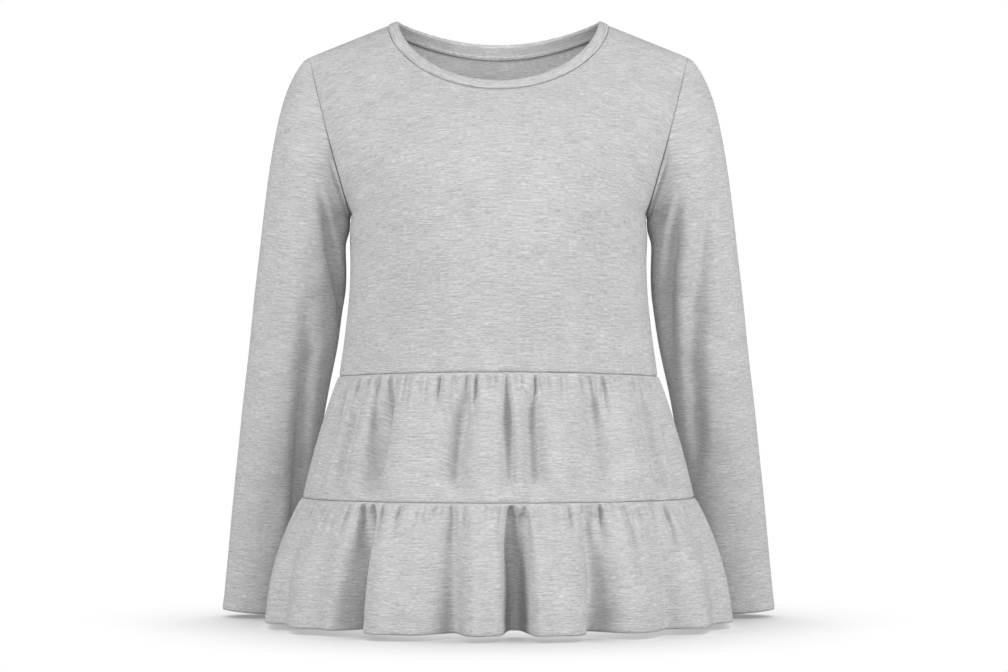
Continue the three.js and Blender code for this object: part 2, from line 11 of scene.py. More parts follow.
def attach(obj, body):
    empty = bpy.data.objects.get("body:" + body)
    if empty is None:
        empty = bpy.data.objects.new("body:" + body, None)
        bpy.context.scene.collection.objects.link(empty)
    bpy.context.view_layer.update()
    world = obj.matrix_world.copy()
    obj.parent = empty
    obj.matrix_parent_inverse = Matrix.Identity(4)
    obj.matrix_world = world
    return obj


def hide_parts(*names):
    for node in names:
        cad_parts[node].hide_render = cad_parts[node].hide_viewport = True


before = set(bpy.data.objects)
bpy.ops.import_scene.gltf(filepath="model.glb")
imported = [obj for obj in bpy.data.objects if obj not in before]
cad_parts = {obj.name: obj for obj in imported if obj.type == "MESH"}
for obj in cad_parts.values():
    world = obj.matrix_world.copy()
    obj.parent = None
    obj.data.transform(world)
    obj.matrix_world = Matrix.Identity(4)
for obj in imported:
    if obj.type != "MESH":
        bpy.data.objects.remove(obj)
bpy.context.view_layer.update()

# Bodice: a front and a back panel of heather grey cotton jersey, each cut in one piece and sewn to the
# other at the shoulders and sides, with the raw edges turned in. Lengths are in millimetres, the front faces
# -Y, and the origin is midway between the high shoulder points.

MM = 0.001
JERSEY_WALL = 1.1  # the cloth's thickness, a little more than real jersey's
TURNED = 2.5  # from the outside of the cloth to the inside of its turned edge
SEAM_ALLOWANCE = (0, 3, 6)  # how far the turned edge lies back from the seam, line by line

HIGH_SHOULDER_HALF = 105
SHOULDER_ROUND = 170  # height over which a shoulder closes from full depth to its seam
SHOULDER_POINT = Vector((199.5, 0, -37.9))
ARMPIT = Vector((155, 0, -205))
SHOULDER_SLOPE = -SHOULDER_POINT.z / (SHOULDER_POINT.x - HIGH_SHOULDER_HALF)
ARMHOLE_LEAN = (SHOULDER_POINT.x - ARMPIT.x) / (SHOULDER_POINT.z - ARMPIT.z)
WAIST_Z = -374
WAIST_LIFT = 3  # the waist seam rides up this much at the centre front

# Height, half width, front depth and back depth of the body
BODY = (
    (20, 218, 50, 84),
    (-14, 217, 60, 97),
    (-60, 215, 78, 104),
    (-100, 210, 97, 109),
    (-125, 203, 109, 111),
    (-150, 190, 119, 112),
    (-175, 178, 126, 113),
    (-205, 167, 130, 112.8),
    (-230, 161, 130, 111),
    (-260, 157.5, 127.5, 108),
    (-294, 157.5, 123, 104),
    (-336, 161.7, 118, 100),
    (-374, 167, 115, 98),
)
# Height and half width near a panel's side edges: of the armhole's oval, and of the side seam
OVAL = (
    (20, 218),
    (-14, 217),
    (-60, 215),
    (-100, 210),
    (-125, 202),
    (-150, 185),
    (-175, 171),
    (-190, 163.5),
    (-205, 155),
)
SIDE_SEAM = ((-205, 155), (-230, 156.5), (-260, 155.5), (-294, 157), (-336, 161.7), (-374, 167))
CORNER_POWER = 8  # a higher one keeps the change from body to side edge nearer to the edge

# The neckline: half widths on the shoulder, at the band's seam and at its top edge; the seam's drop in the
# middle, in front (-1) and behind (1); how far the top edge is above it there; and how pointed the curve is
NECK_SEAM_HALF = 116
NECK_EDGE_HALF = 104.5
NECK_DROP = {-1: 78, 1: 20}
NECK_EDGE_RISE = {-1: 5.3, 1: 5.6}
NECK_POWER = {-1: 1.2, 1: 2.3}

# Soft creases of the panels as seen from the front: from x, z to x, z, depth (less than 0 is a ridge) and
# spread
BODICE_CREASES = {
    -1: (
        (-158, -196, -120, -150, 2.6, 9),
        (-160, -212, -112, -196, 1.6, 8),
        (-156, -228, -128, -262, 1.4, 10),
        (158, -196, 124, -146, 2.4, 9),
        (160, -214, 118, -204, 1.7, 8),
        (156, -232, 132, -270, 1.3, 10),
        (-190, -60, -150, -112, -1.4, 14),
        (190, -62, 152, -118, -1.3, 14),
        (-118, -374, -96, -318, 1.3, 8),
        (-64, -374, -72, -334, 0.9, 7),
        (-10, -372, -4, -326, 1.1, 9),
        (44, -372, 36, -338, 0.8, 7),
        (104, -374, 92, -322, 1.2, 8),
        (148, -374, 142, -330, 1.4, 8),
        (-148, -374, -144, -336, 1.3, 8),
        (-70, -214, 30, -226, 0.9, 16),
        (-20, -268, 96, -252, 0.8, 18),
        (-112, -298, 8, -312, 0.8, 14),
        (24, -150, 104, -132, -0.8, 20),
    ),
    1: (
        (-158, -196, -122, -140, 3.0, 9),
        (-160, -214, -104, -206, 2.0, 9),
        (-156, -230, -116, -262, 1.8, 10),
        (158, -194, 120, -142, 2.8, 9),
        (160, -214, 108, -210, 2.2, 9),
        (156, -234, 122, -268, 1.6, 10),
        (-60, -262, 44, -276, 2.0, 12),
        (-88, -292, 74, -304, 2.6, 11),
        (-52, -324, 90, -316, 2.0, 10),
        (-120, -350, -60, -338, 1.4, 9),
        (58, -352, 122, -344, 1.4, 9),
        (-40, -374, -34, -336, 1.0, 8),
        (52, -374, 46, -340, 1.0, 8),
        (-112, -374, -104, -338, 1.2, 8),
        (128, -374, 120, -336, 1.2, 8),
        (-150, -70, -96, -96, 1.6, 14),
        (150, -72, 92, -100, 1.6, 14),
        (-20, -60, 30, -72, 1.0, 16),
    ),
}


def mix(low, high, share):
    return low + (high - low) * share


def smooth(at, low, high):
    """0 below low, 1 above high, and an even S between them."""
    t = min(max((at - low) / (high - low), 0), 1)
    return t * t * (3 - 2 * t)


def curve(rows, column):
    """One column of a table as a smooth curve over its first column."""
    rising = sorted((row[0], row[column]) for row in rows)
    keys = [key for key, _ in rising]
    values = [value for _, value in rising]
    last = len(keys) - 1

    def slope(k):
        before, after = max(k - 1, 0), min(k + 1, last)
        return (values[after] - values[before]) / (keys[after] - keys[before])

    slopes = [slope(k) for k in range(last + 1)]

    def at(place):
        i = min(max(bisect_right(keys, place) - 1, 0), last - 1)
        span = keys[i + 1] - keys[i]
        t = min(max((place - keys[i]) / span, 0), 1)
        swing = t * (1 - t) * span
        return mix(values[i], values[i + 1], smooth(t, 0, 1)) + swing * (
            (1 - t) * slopes[i] - t * slopes[i + 1]
        )

    return at


body_half = curve(BODY, 1)
body_depth = {-1: curve(BODY, 2), 1: curve(BODY, 3)}
oval_half = curve(OVAL, 1)
seam_half = curve(SIDE_SEAM, 1)


def edge_half(z):
    return oval_half(z) if z > ARMPIT.z else seam_half(z)


def reach(z):
    """How far a panel goes out from the middle: to its armhole, and below that to its side seam."""
    if z > ARMPIT.z:
        return ARMPIT.x + ARMHOLE_LEAN * (z - ARMPIT.z)
    return seam_half(z)


def shoulder_z(x):
    past = abs(x) - HIGH_SHOULDER_HALF
    inner = 0 if past > 0 else SHOULDER_SLOPE / (2 * HIGH_SHOULDER_HALF) * past * past
    return -SHOULDER_SLOPE * past - inner


def on_body(x, z, side):
    """The body's surface at a place in the front view; side is -1 in front and 1 behind."""
    corner = min(abs(x) / reach(z), 1) ** CORNER_POWER
    half = mix(body_half(z), edge_half(z), corner)
    across = sqrt(max(0, 1 - (x / half) ** 2))
    below = min(max(shoulder_z(x) - z, 0) / SHOULDER_ROUND, 1)
    rounding = sqrt(1 - (1 - below) ** 2)
    return Vector((x, side * body_depth[side](z) * across * rounding, z))


def on_neckline(turn, share, side):
    """A point of the neckline in the front view; share is 0 at the band's seam and 1 at its top edge."""
    half = mix(NECK_SEAM_HALF, NECK_EDGE_HALF, share)
    drop = NECK_DROP[side] - share * NECK_EDGE_RISE[side]
    return half * sin(turn), shoulder_z(half) - drop * max(cos(turn), 0) ** NECK_POWER[side]


NECK_END = 0.57  # share of a panel's top edge that is neckline
SPREAD_DOWN = 0.4  # share of the panel's height over which the grid's columns spread evenly
NECK_SHARE = NECK_SEAM_HALF / reach(shoulder_z(NECK_SEAM_HALF))


@lru_cache(maxsize=None)
def top_edge(u, side):
    """The part of the reach, and the height, of a panel's top edge at u from -1 to 1."""
    out = abs(u)
    if out <= NECK_END:
        x, z = on_neckline(u * pi / 2 / NECK_END, 0, side)
        return x / reach(z), z
    share = mix(NECK_SHARE, 1, (out - NECK_END) / (1 - NECK_END))
    level = ARMPIT.x - ARMHOLE_LEAN * (ARMPIT.z - SHOULDER_SLOPE * HIGH_SHOULDER_HALF)
    x = share * level / (1 + share * ARMHOLE_LEAN * SHOULDER_SLOPE)
    return (share if u > 0 else -share), shoulder_z(x)


def seam_lift(turn, lift):
    return lift * max(cos(turn), 0) ** 2


def bodice_point(u, down, side):
    top_share, top = top_edge(u, side)
    bottom = WAIST_Z + (seam_lift(u * pi / 2, WAIST_LIFT) if side < 0 else 0)
    z = mix(top, bottom, down)
    spread = 1 - (1 - min(down / SPREAD_DOWN, 1)) ** 2
    side_turn = asin(min(reach(z) / edge_half(z), 1))
    share = mix(top_share, sin(u * side_turn) / sin(side_turn), spread)
    return on_body(share * reach(z), z, side)


SEAM_LINES = (0.5, 1.1, 1.9, 3.0)  # distances from a seam of the grid's close lines beside it


def ticks(length, step, seams=(True, True)):
    """Shares of a length at even steps, with close lines beside an end where a seam rolls the cloth in."""
    close = [distance / length for distance in SEAM_LINES]
    low = close[-1] if seams[0] else 0
    high = 1 - close[-1] if seams[1] else 1
    count = round((high - low) * length / step)
    even = [mix(low, high, k / count) for k in range(count + 1)]
    before = [0, *close[:-1]] if seams[0] else []
    after = [1 - share for share in reversed([0, *close[:-1]])] if seams[1] else []
    return before + even + after


def add_object(bm, name):
    """Adds a mesh to the scene as an object."""
    mesh = bpy.data.meshes.new(name)
    bm.to_mesh(mesh)
    bm.free()
    made = bpy.data.objects.new(name, mesh)
    bpy.context.scene.collection.objects.link(made)
    return made


class Cloth:
    """A piece of cloth as a grid. across runs round the wearer and down to the hem; place gives a point."""

    def __init__(self, across, down, place, closed=False, reverse=False):
        self.across, self.down = across, down
        self.wide, self.tall = len(across) - 1, len(down) - 1
        self.bm = bmesh.new()
        uv = self.bm.loops.layers.uv.new("cloth")
        bmesh.ops.create_grid(self.bm, x_segments=self.wide, y_segments=self.tall, size=0.5)
        self.where = {}
        self.vert = {}
        for vert in self.bm.verts:
            i = round((vert.co.x + 0.5) * self.wide)
            j = round((0.5 - vert.co.y) * self.tall)
            self.where[vert], self.vert[i, j] = (i, j), vert
            vert.co = place(across[i], down[j])
        self.measure()
        for face in self.bm.faces:
            for loop in face.loops:
                i, j = self.where[loop.vert]
                middle = (self.course[j][i] - self.course[j][-1] / 2) * MM
                loop[uv].uv = middle, (self.wale[i][j] - self.wale[i][-1]) * -MM
        if closed:
            last = {self.vert[self.wide, j]: self.vert[0, j] for j in range(self.tall + 1)}
            for vert in last:
                del self.where[vert]
            for j in range(self.tall + 1):
                self.vert[self.wide, j] = self.vert[0, j]
            bmesh.ops.weld_verts(self.bm, targetmap=last)
        if reverse:
            bmesh.ops.reverse_faces(self.bm, faces=self.bm.faces[:])
        self.bm.normal_update()

    def measure(self):
        """Lengths along each course from its left end and along each wale from its top."""
        self.course = []
        for j in range(self.tall + 1):
            run = [0.0]
            for i in range(self.wide):
                step = self.vert[i + 1, j].co - self.vert[i, j].co
                run.append(run[-1] + sqrt(step.x**2 + step.y**2))
            self.course.append(run)
        self.wale = []
        for i in range(self.wide + 1):
            run = [0.0]
            for j in range(self.tall):
                run.append(run[-1] + (self.vert[i, j + 1].co - self.vert[i, j].co).length)
            self.wale.append(run)

    def shape(self, depth):
        """Moves each point out along the cloth's normal by depth(u, v, its point, edge distances)."""
        moves = {}
        for vert, (i, j) in self.where.items():
            course, wale = self.course[j], self.wale[i]
            edges = (course[i], course[-1] - course[i], wale[j], wale[-1] - wale[j])
            moves[vert] = vert.normal * depth(self.across[i], self.down[j], vert.co, edges)
        for vert, move in moves.items():
            vert.co += move
        self.bm.normal_update()

    def beside(self, i, j, edge, distance):
        """The point and normal at a distance from an edge, along the wale or course through i, j."""
        run = self.wale[i] if edge in ("top", "bottom") else self.course[j]
        target = distance if edge in ("top", "left") else run[-1] - distance
        k = min(max(bisect_right(run, target) - 1, 0), len(run) - 2)
        share = (target - run[k]) / (run[k + 1] - run[k])
        ends = ((i, k), (i, k + 1)) if edge in ("top", "bottom") else ((k, j), (k + 1, j))
        low, high = (self.vert[end] for end in ends)
        return low.co.lerp(high.co, share), low.normal.lerp(high.normal, share).normalized()

    def fold_back(self, edge, inward, depths):
        """Turns an edge in, so that it lies along the inside of its own piece at these depths."""
        line = {"top": 0, "bottom": self.tall, "left": 0, "right": self.wide}[edge]
        axis = 1 if edge in ("top", "bottom") else 0
        sources = {vert: place for vert, place in self.where.items() if place[axis] == line}
        edges = [e for e in self.bm.edges if e.is_boundary and all(v in sources for v in e.verts)]
        placed = {}
        for place in sources.values():
            placed[place] = [self.beside(*place, edge, depth) for depth in depths]
        for k in range(len(depths)):
            by_point = {vert.co.to_tuple(6): place for vert, place in sources.items()}
            made = bmesh.ops.extrude_edge_only(self.bm, edges=edges)["geom"]
            fresh = [v for v in made if isinstance(v, bmesh.types.BMVert)]
            edges = [e for e in made if isinstance(e, bmesh.types.BMEdge) and e.is_boundary]
            edges = [e for e in edges if all(v in fresh for v in e.verts)]
            sources = {vert: by_point[vert.co.to_tuple(6)] for vert in fresh}
            for vert, place in sources.items():
                point, normal = placed[place][k]
                vert.co = point - normal * inward

    def finish(self, name, wall):
        """The piece as an object in metres, with its wall on the inner side."""
        for vert in self.bm.verts:
            vert.co *= MM
        for face in self.bm.faces:
            face.smooth = True
        piece = add_object(self.bm, name)
        solid = piece.modifiers.new("wall", "SOLIDIFY")
        solid.thickness = wall * MM
        solid.offset = -1
        return piece


SEAM_ROLL = 1.1  # how far the cloth dips at a seam, and over what width
SEAM_ROLL_WIDE = 1.1
ARMHOLE_ROLL = 0.45  # the same at the armholes and side seams, which are pressed flatter


def rolled(distance, deep=SEAM_ROLL, wide=SEAM_ROLL_WIDE):
    return -deep * exp(-((distance / wide) ** 2))


CREASE_PAST = 0.3  # share of its length by which a crease is worked out past each end
CREASE_STARTS = (-0.25, 0.25)  # shares of its length between which it deepens
CREASE_STOPS = (0.6, 1.25)  # and between which it dies out


def soft_crease(x, z, crease):
    """A trough along a line between two places, shallow at its ends."""
    x0, z0, x1, z1, depth, spread = crease
    run_x, run_z = x1 - x0, z1 - z0
    length = run_x * run_x + run_z * run_z
    along = ((x - x0) * run_x + (z - z0) * run_z) / length
    if not -CREASE_PAST < along < 1 + CREASE_PAST:
        return 0
    away = (x - x0 - along * run_x) ** 2 + (z - z0 - along * run_z) ** 2
    ends = smooth(along, *CREASE_STARTS) * (1 - smooth(along, *CREASE_STOPS))
    return -depth * ends * exp(-away / spread**2)


def linear(code):
    """An sRGB hex colour as the linear one that a shader takes."""
    parts = [int(code[k : k + 2], 16) / 255 for k in (1, 3, 5)]
    return [c / 12.92 if c <= 0.04045 else ((c + 0.055) / 1.055) ** 2.4 for c in parts] + [1]


def empty_material(name):
    material = bpy.data.materials.new(name)
    material.use_nodes = True
    material.node_tree.nodes.clear()
    return material


def add(tree, kind, settings, links):
    """Adds a node; a link is a value or another node's socket."""
    made = tree.nodes.new(kind)
    for name, value in settings.items():
        setattr(made, name, value)
    for name, value in links.items():
        if isinstance(value, bpy.types.NodeSocket):
            tree.links.new(value, made.inputs[name])
        else:
            made.inputs[name].default_value = value
    return made


# Sizes of the heather in metres: a streak is a run of dark or pale fibres in one course. A real course is
# about 0.6 mm high and a wale about 0.7 mm wide, too fine to show, so they are drawn 1.1 and 1.2 mm.
STREAK_LONG = 0.017
STREAK_HIGH = 0.0011
FLECK_LONG = 0.0045
PATCH = 0.06
WALE_WIDE = 0.0012
# How much of the shade the streaks, the flecks and the large patches make
STREAK_SHARE = 0.55
FLECK_SHARE = 0.4
PATCH_SHARE = 0.12


def heather_jersey(name, dark, middle, pale):
    """Cotton jersey of a melange yarn: matt, with short dark and pale streaks along its courses."""
    material = empty_material(name)
    tree = material.node_tree
    flat = add(tree, "ShaderNodeUVMap", {"uv_map": "cloth"}, {}).outputs["UV"]

    def pattern(width, height, detail, rough, warp):
        size = (1 / width, 1 / height, 1)
        scaled = add(tree, "ShaderNodeMapping", {}, {"Vector": flat, "Scale": size}).outputs["Vector"]
        noise = {"Vector": scaled, "Scale": 1.0, "Detail": detail, "Roughness": rough, "Distortion": warp}
        return add(tree, "ShaderNodeTexNoise", {"noise_dimensions": "2D"}, noise).outputs["Fac"]

    streaks = pattern(STREAK_LONG, STREAK_HIGH, 2.0, 0.55, 0.4)
    flecks = pattern(FLECK_LONG, STREAK_HIGH * 0.8, 1.0, 0.5, 0.0)
    patches = pattern(PATCH, PATCH * 0.4, 2.0, 0.5, 0.3)

    def share_of(value, share, rest):
        """Adds a share of one pattern, kept about its middle, to the rest."""
        limits = {"Value": value, "To Min": -share / 2, "To Max": share / 2}
        part = add(tree, "ShaderNodeMapRange", {}, limits).outputs[0]
        return add(tree, "ShaderNodeMath", {"operation": "ADD"}, {0: part, 1: rest}).outputs[0]

    fibres = share_of(patches, PATCH_SHARE, 0.5)
    fibres = share_of(flecks, FLECK_SHARE, fibres)
    fibres = share_of(streaks, STREAK_SHARE, fibres)
    shades = add(tree, "ShaderNodeValToRGB", {}, {"Fac": fibres})
    ramp = shades.color_ramp
    ramp.elements[0].position, ramp.elements[0].color = 0.3, linear(dark)
    ramp.elements[1].position, ramp.elements[1].color = 0.7, linear(pale)
    ramp.elements.new(0.5).color = linear(middle)

    knit = pattern(WALE_WIDE, WALE_WIDE * 1.3, 1.0, 0.5, 0.4)
    height = add(tree, "ShaderNodeMath", {"operation": "MULTIPLY_ADD"}, {0: streaks, 1: 0.6, 2: knit})
    bump = add(
        tree,
        "ShaderNodeBump",
        {},
        {"Height": height.outputs[0], "Strength": 0.35, "Distance": 0.0006},
    ).outputs["Normal"]
    shader = add(
        tree,
        "ShaderNodeBsdfPrincipled",
        {},
        {
            "Base Color": shades.outputs["Color"],
            "Roughness": 0.92,
            "IOR": 1.5,
            "Specular IOR Level": 0.25,
            "Sheen Weight": 0.12,
            "Sheen Roughness": 0.6,
            "Normal": bump,
        },
    )
    add(tree, "ShaderNodeOutputMaterial", {}, {"Surface": shader.outputs["BSDF"]})
    return material


jersey = heather_jersey("heather_cotton_jersey", "#9c9c9c", "#b5b5b5", "#cccccc")

NECK_ROLL = 1.8  # how far the panel dips under the neckband, and over what width
NECK_ROLL_WIDE = 1.5
NECK_ALLOWANCE = (0, 2, 4)
BODICE_STEP = 2.6  # between the grid's lines
BODICE_WIDE = 430  # about the length of the panel's widest course, and of its middle wale
BODICE_TALL = 350
CREASE_FADE = 4  # distance over which creases die out beside a seam

for name, side in (("bodice_front", -1), ("bodice_back", 1)):
    half_course = ticks(BODICE_WIDE / 2, BODICE_STEP, (False, True))
    course = [-share for share in reversed(half_course[1:])] + half_course
    panel = Cloth(
        [-side * share for share in course],
        ticks(BODICE_TALL, BODICE_STEP),
        lambda u, down: bodice_point(u, down, side),
    )

    def bodice_relief(u, down, point, edges):
        fade = 1 - exp(-min(edges) / CREASE_FADE)
        creases = sum(soft_crease(point.x, point.z, crease) for crease in BODICE_CREASES[side])
        left, right, top, bottom = edges
        below_band = rolled(top, NECK_ROLL, NECK_ROLL_WIDE) if abs(u) < NECK_END else rolled(top)
        sides = rolled(left, ARMHOLE_ROLL) + rolled(right, ARMHOLE_ROLL)
        return creases * fade + below_band + sides + rolled(bottom)

    panel.shape(bodice_relief)
    panel.fold_back("top", TURNED, NECK_ALLOWANCE)
    for edge in ("bottom", "left", "right"):
        panel.fold_back(edge, TURNED, SEAM_ALLOWANCE)
    piece = panel.finish(name + "_cloth", JERSEY_WALL)
    piece.data.materials.append(jersey)
    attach(piece, "root")
    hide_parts(name)

# Sleeves: two long tubes of the same jersey, set in at the armholes and narrowing to a hem that is turned
# up at the cuff and held by two rows of stitches. They hang a little behind the body, so that the tiers
# overlap them.

# Ring by ring: its number, x and z of the outer and of the inner point of the front outline, half depth, and
# how far back the middle hangs
SLEEVE = (
    (0, 199.5, -37.9, 155, -205, 44, 0),
    (1, 206, -43, 156.8, -209, 45, 0),
    (2, 213, -53, 158, -214, 46, 1),
    (3, 221, -69, 159.5, -221, 47, 2),
    (4, 228.5, -91, 160.6, -230, 48, 3),
    (5, 235.5, -122, 161, -241, 48, 4),
    (6, 242, -160, 160.8, -252, 48, 6),
    (7, 247.5, -201, 160.6, -266, 48, 9),
    (8, 253, -247, 161.3, -280, 47, 13),
    (9, 258.8, -293, 163, -296, 46, 18),
    (10, 264.9, -346, 170.5, -343, 43, 26),
    (11, 272, -399, 183, -399, 40, 36),
    (12, 278.8, -453, 192.7, -453, 36, 47),
    (13, 285.5, -507, 202.8, -507, 32, 58),
    (14, 291.5, -561, 212.8, -561, 29, 68),
    (15, 296.8, -608, 222, -612, 27, 76),
    (16, 298.6, -625, 225.2, -630.7, 26.5, 79),
)
SLEEVE_BLEND_RINGS = 5  # rings over which the armhole's shape turns into the sleeve's own
FOLD_FADE_RINGS = 2  # rings over which a main fold starts and ends
# Main folds, which twist round the arm: side, place at the first and at the last ring (in degrees from the
# top over the front), first and last ring, depth, and spread in degrees
SLEEVE_FOLDS = (
    (-1, 114, 172, 3.5, 10, 11, 12),
    (-1, 102, 152, 8.6, 14.5, 11, 13),
    (1, 112, 152, 4, 11, 11, 12),
    (1, 60, 140, 5.6, 13, 10, 13),
    (-1, 236, 192, 4, 11, 10, 13),
    (1, 244, 198, 4, 12, 10, 13),
    (-1, 204, 236, 9, 15, 8, 13),
    (1, 206, 238, 8, 14, 8, 13),
)
# Smaller creases, which run slantwise: side, first place and ring, last place and ring, depth (less than 0
# is a ridge) and spread in degrees
SLEEVE_CREASES = (
    (-1, 172, 0.3, 140, 4.2, 5, 8),
    (-1, 116, 1.0, 166, 0.8, 9, 12),
    (-1, 180, -0.4, 180, 0.9, -4, 14),
    (-1, 180, 0.9, 180, 4.0, -3.8, 14),
    (-1, 150, 5.5, 96, 8.2, 1.5, 10),
    (-1, 146, 8.4, 84, 9.6, 1.3, 9),
    (-1, 138, 9.6, 92, 10.9, 1.4, 8),
    (-1, 60, 10.2, 112, 11.6, 1.0, 9),
    (-1, 130, 12.2, 84, 13.4, 1.0, 10),
    (-1, 192, 0.3, 236, 6, 2.4, 10),
    (-1, 200, 7, 262, 9, 1.8, 11),
    (-1, 206, 9.2, 276, 10.4, 2.0, 10),
    (-1, 214, 10.8, 268, 12, 1.5, 10),
    (1, 172, 0.3, 138, 4.2, 5, 8),
    (1, 116, 1.0, 166, 0.8, 9, 12),
    (1, 180, -0.4, 180, 0.9, -4, 14),
    (1, 180, 0.9, 180, 4.0, -3.8, 14),
    (1, 154, 5, 100, 7.6, 1.6, 10),
    (1, 142, 8.2, 70, 9.9, 1.6, 9),
    (1, 136, 10, 78, 11.2, 1.3, 9),
    (1, 128, 11.6, 66, 12.6, 1.0, 10),
    (1, 50, 12.8, 110, 14.2, 0.9, 10),
    (1, 194, 0.3, 238, 5.8, 2.3, 10),
    (1, 202, 6.6, 258, 8.8, 1.8, 11),
    (1, 208, 8.8, 280, 10.2, 1.9, 10),
    (1, 212, 11, 262, 12.4, 1.4, 10),
)
RING_DEGREES = 30  # a ring's height counts as this many degrees of girth in a crease's length and spread
SLEEVE_CREASE_FADE = 12  # distance over which creases die out beside the armhole and the hem
SLEEVE_COLUMNS = 112
SLEEVE_STEP = 2.7  # between the grid's rings
LEAST_STEPS = 2  # the fewest grid rings between two rows of the table, and between the first two
LEAST_STEPS_AT_ARMHOLE = 5
HEM_ALLOWANCE = (0, 5, 10, 14)  # how far a turned-up hem reaches, line by line
HEM_ROWS = (11.5, 14.5)  # the two rows of stitches, above the edge
HEM_DIP = 0.35  # how deep the stitches pull a hem in, and over what width
HEM_DIP_WIDE = 0.8
HEM_BULGE = 0.5  # how far the hem stands out below them
HEM_BULGE_FADE = 4  # distance over which it comes in again to the stitches
HEM_EDGE_ROUND = 3  # and to the edge

sleeve_columns = [curve(SLEEVE, column) for column in range(1, 7)]


@lru_cache(maxsize=None)
def sleeve_ring(ring):
    return [column(ring) for column in sleeve_columns]


def angle_between(a, b):
    return (a - b + 540) % 360 - 180


def sleeve_point(turn, ring, hand):
    out_x, out_z, in_x, in_z, deep, back = sleeve_ring(ring)
    x = (out_x + in_x) / 2 + (out_x - in_x) / 2 * cos(turn)
    z = (out_z + in_z) / 2 + (out_z - in_z) / 2 * cos(turn)
    seam = SHOULDER_POINT.lerp(ARMPIT, (1 - cos(turn)) / 2)
    seam_y = on_body(seam.x, seam.z, 1 if sin(turn) < 0 else -1).y
    y = mix(seam_y, back - deep * sin(turn), smooth(ring, 0, SLEEVE_BLEND_RINGS))
    fold = 0
    for side, place0, place1, first, last, depth, spread in SLEEVE_FOLDS:
        if side == hand:
            place = mix(place0, place1, (ring - first) / (last - first))
            starts = smooth(ring, first, first + FOLD_FADE_RINGS)
            ends = smooth(ring, last - FOLD_FADE_RINGS, last)
            away = angle_between(degrees(turn), place) / spread
            fold += depth * starts * (1 - ends) * exp(-away * away)
    return Vector((hand * (x - fold * cos(turn)), y + fold * sin(turn), z))


def hem_relief(above):
    """A turned-up hem: the stitched rows pull the cloth in and the fold between them stands out."""
    rows = sum(rolled(above - row, HEM_DIP, HEM_DIP_WIDE) for row in HEM_ROWS)
    below_rows = 1 - smooth(above, HEM_ROWS[0] - HEM_BULGE_FADE, HEM_ROWS[0])
    return rows + HEM_BULGE * below_rows * smooth(above, 0, HEM_EDGE_ROUND)


# Hem stitches: cotton thread a little paler than the cloth, in stitches 2.6 mm long
STITCH_PITCH = 3.4
STITCH_LONG = 2.6
STITCH_WIDE = 0.55
STITCH_LIFT = 0.1  # from the cloth's surface to a stitch's middle


def stitch_line(bm, points):
    """Adds stitches along a line of points and normals, each a thin bead lying on the cloth."""
    left_over = 0.0
    for (start, normal), (end, _) in zip(points, points[1:]):
        run = (end - start).length
        at = STITCH_PITCH - left_over
        while at < run:
            along = (end - start).normalized()
            out = (normal - along * normal.dot(along)).normalized()
            lie = Matrix((along, out.cross(along), out)).transposed().to_4x4()
            place = Matrix.Translation(start.lerp(end, at / run) + out * STITCH_LIFT)
            size = Matrix.Diagonal((STITCH_LONG / 2, STITCH_WIDE / 2, STITCH_WIDE / 2, 1))
            bmesh.ops.create_icosphere(bm, subdivisions=1, radius=1, matrix=place @ lie @ size)
            at += STITCH_PITCH
        left_over = run - at + STITCH_PITCH


def sewn(bm, name):
    """Stitches as an object in metres."""
    bmesh.ops.scale(bm, vec=(MM, MM, MM), verts=bm.verts)
    for face in bm.faces:
        face.smooth = True
    return add_object(bm, name)


THREAD_SLUBS = 900.0  # thick places in a metre of thread, so one to about 1.1 mm


def cotton_thread(name, colour):
    """Spun cotton sewing thread, matt and slightly fuzzy. Its twist is too fine to show, and left out."""
    material = empty_material(name)
    tree = material.node_tree
    place = add(tree, "ShaderNodeTexCoord", {}, {}).outputs["Object"]
    slubs = add(tree, "ShaderNodeTexNoise", {}, {"Vector": place, "Scale": THREAD_SLUBS}).outputs["Fac"]
    shade = {"Value": slubs, "To Min": 0.9, "To Max": 1.08}
    shade = add(tree, "ShaderNodeMapRange", {}, shade).outputs[0]
    tint = add(
        tree,
        "ShaderNodeMix",
        {"data_type": "RGBA", "blend_type": "MULTIPLY"},
        {"Factor": 1.0, 6: linear(colour), 7: shade},
    ).outputs[2]
    shader = add(
        tree,
        "ShaderNodeBsdfPrincipled",
        {},
        {"Base Color": tint, "Roughness": 0.8, "IOR": 1.5, "Sheen Weight": 0.1},
    )
    add(tree, "ShaderNodeOutputMaterial", {}, {"Surface": shader.outputs["BSDF"]})
    return material


thread = cotton_thread("spun_cotton_thread", "#bcbdc0")

